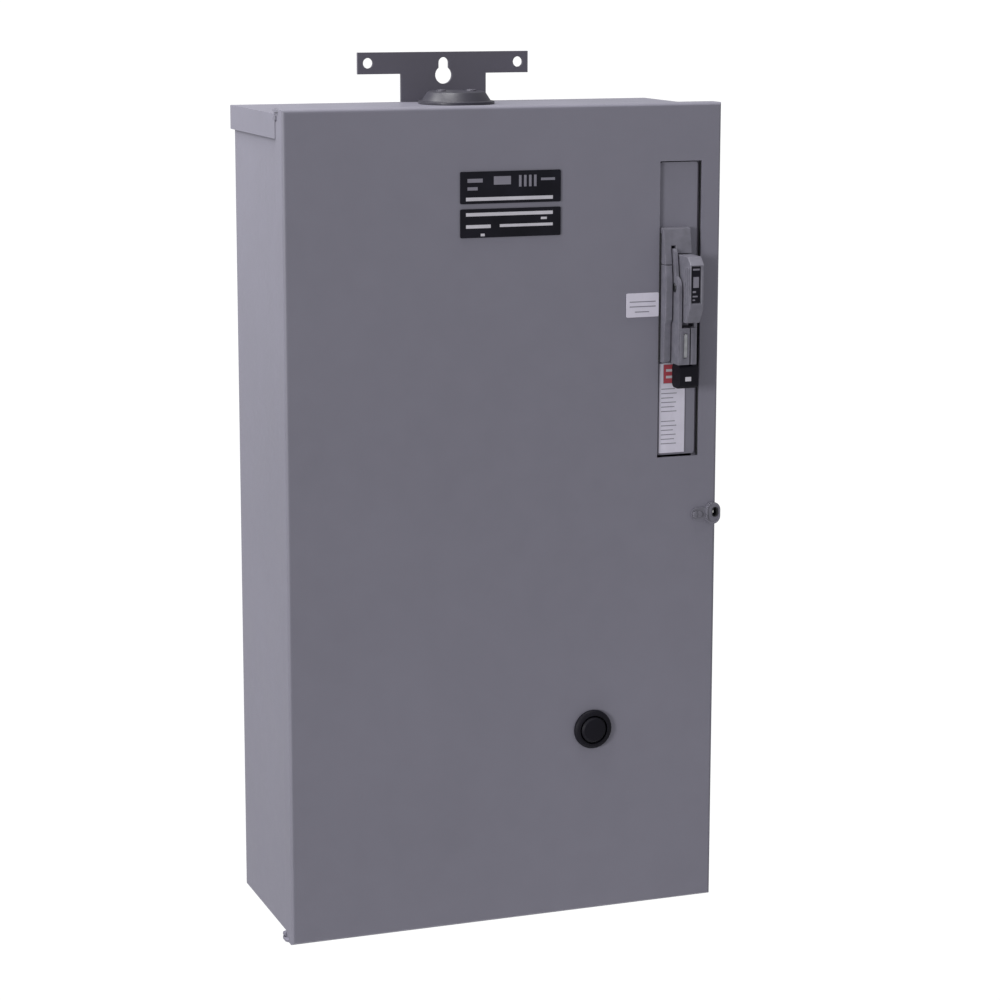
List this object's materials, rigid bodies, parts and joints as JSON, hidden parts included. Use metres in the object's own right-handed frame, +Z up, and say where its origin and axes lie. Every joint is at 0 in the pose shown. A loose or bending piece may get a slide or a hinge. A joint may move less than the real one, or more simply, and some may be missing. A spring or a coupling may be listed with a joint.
{
  "type": "fused disconnect starter enclosure",
  "caption": "Grey wall-mounted steel enclosure with a side-hinged door, flange-mounted disconnect handle and reset button, holding a fused switch and a motor starter.",
  "frame": {"origin": "axis of the hanging screw in the top bracket's keyhole, on the wall", "axes": "+Z up, -Y out of the door towards the user, +Y into the wall, +X to the right seen from the front"},
  "size_m": [0.3595, 0.183, 0.7062],
  "materials": {
    "enamel": "baked grey enamel, fine orange peel",
    "dark_enamel": "dark grey enamel",
    "operator_casting": "grey painted casting",
    "zinc_steel": "zinc plated",
    "copper": "bare copper",
    "brass_bar": "bare brass",
    "black_plastic": "semi-gloss moulding",
    "moulding": "dark phenolic moulding",
    "clear_sheet": "clear sheet",
    "gasket_rubber": "closed-cell foam",
    "pale_label": "matt film",
    "red_label": "matt film",
    "black_label": "screened film",
    "fuse_tube": "glass-fibre tube with metal ferrules",
    "green_plastic": "coloured moulding"
  },
  "bodies": {
    "cabinet": {"enclosure_body": "enamel", "top_cap": "enamel", "hub_plate": "dark_enamel", "top_bracket": "dark_enamel", "bottom_bracket": "dark_enamel", "mounting_panel": "zinc_steel", "panel_rail_upper": "zinc_steel", "panel_rail_lower": "zinc_steel", "hinge_pin_top": "zinc_steel", "hinge_pin_bottom": "zinc_steel", "seal_staple": "operator_casting", "operator_plate": "enamel", "operator_frame": "zinc_steel", "operator_tower": "operator_casting", "position_label": "black_label", "operator_cap": "operator_casting", "defeater_block": "operator_casting", "pivot_pin": "zinc_steel", "warning_header": "red_label", "instruction_label": "pale_label", "switch_base": "moulding", "line_terminal_1": "copper", "line_terminal_2": "copper", "line_terminal_3": "copper", "load_terminal_1": "copper", "load_terminal_2": "copper", "load_terminal_3": "copper", "line_shield": "clear_sheet", "fuse_block": "moulding", "fuse_1": "fuse_tube", "fuse_2": "fuse_tube", "fuse_3": "fuse_tube", "fuse_clip_1": "copper", "fuse_clip_2": "copper", "fuse_clip_3": "copper", "contactor_body": "black_plastic", "overload_relay": "black_plastic", "control_transformer": "dark_enamel", "ground_bar": "brass_bar"},
    "door": {"door": "enamel", "door_gasket": "gasket_rubber", "nameplate_upper": "black_label", "nameplate_lower": "black_label", "rating_label": "pale_label", "door_hasp": "operator_casting", "door_catch": "zinc_steel", "reset_bezel": "black_plastic"},
    "reset_button": {"reset_button": "black_plastic"},
    "reset_plunger": {"reset_plunger": "green_plastic"},
    "handle": {"handle_yoke": "operator_casting", "handle_grip": "black_plastic"},
    "padlock_slide": {"padlock_slide": "zinc_steel"},
    "drive": {"drive_slide": "zinc_steel"},
    "rotor": {"rotor_shaft": "moulding", "rotor_crank": "zinc_steel", "blade_1": "copper", "blade_2": "copper", "blade_3": "copper"},
    "armature": {"contactor_armature": "moulding"}
  },
  "joints": [
    {"name": "door_hinge", "type": "hinge", "parent": "cabinet", "child": "door", "pos_m": [-0.174, -0.1314, -0.345], "axis": [0, 0, -1], "range_deg": [0, 115]},
    {"name": "handle_lever", "type": "hinge", "parent": "cabinet", "child": "handle", "pos_m": [0.1412, -0.162, -0.167], "axis": [-1, 0, 0], "range_deg": [0, 160]},
    {"name": "padlock_slide_out", "type": "slide", "parent": "handle", "child": "padlock_slide", "axis": [0, -1, 0], "range_m": [0, 0.009]},
    {"name": "drive_travel", "type": "slide", "parent": "cabinet", "child": "drive", "axis": [0, 0, -1], "range_m": [0, 0.0513]},
    {"name": "rotor_turn", "type": "hinge", "parent": "cabinet", "child": "rotor", "pos_m": [0.04, -0.062, -0.192], "axis": [1, 0, 0], "range_deg": [0, 54.4]},
    {"name": "reset_press", "type": "slide", "parent": "door", "child": "reset_button", "axis": [0, 1, 0], "range_m": [0, 0.005], "stiffness_N_per_m": 400},
    {"name": "plunger_press", "type": "slide", "parent": "cabinet", "child": "reset_plunger", "axis": [0, 1, 0], "range_m": [0, 0.005]},
    {"name": "armature_pull", "type": "slide", "parent": "cabinet", "child": "armature", "axis": [0, 1, 0], "range_m": [0, 0.006], "stiffness_N_per_m": 800}
  ],
  "couplings": [
    {"joint": "drive_travel", "follows": "handle_lever", "m_per_rad": 0.018338},
    {"joint": "rotor_turn", "follows": "handle_lever", "ratio": 0.33896},
    {"joint": "plunger_press", "follows": "reset_press", "ratio": 1}
  ]
}
